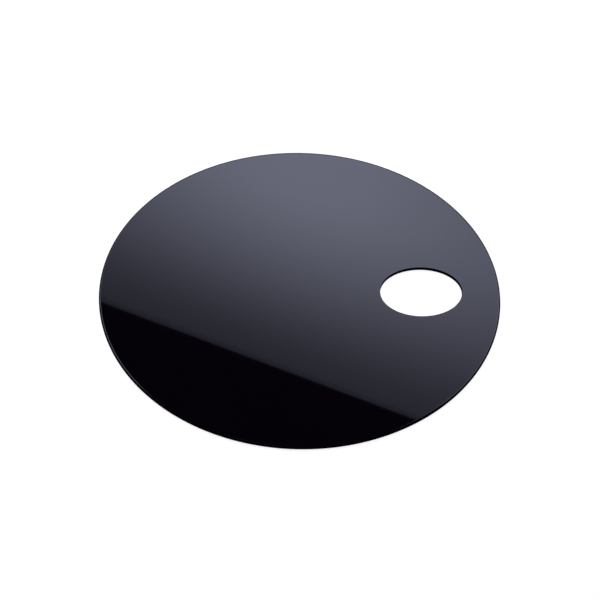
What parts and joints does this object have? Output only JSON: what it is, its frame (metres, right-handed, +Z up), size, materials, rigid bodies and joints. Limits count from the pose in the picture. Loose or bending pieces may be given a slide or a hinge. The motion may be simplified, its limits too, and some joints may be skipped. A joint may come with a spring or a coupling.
{
  "type": "mixing palette",
  "caption": "Flat oval gloss black mixing palette with rounded edges and an oval thumb hole near one end, held by the thumb or laid on a table to mix paint or make-up on.",
  "frame": {"origin": "under the middle of the plate, on the underside that it lies on", "axes": "+Z up out of the mixing face, +X along the plate's length towards the thumb hole"},
  "size_m": [0.2, 0.18, 0.002],
  "materials": {
    "acrylic": "gloss black cast acrylic with polished rounded edges and dull cut walls"
  },
  "bodies": {
    "root": {"palette_plate": "acrylic"}
  },
  "joints": []
}
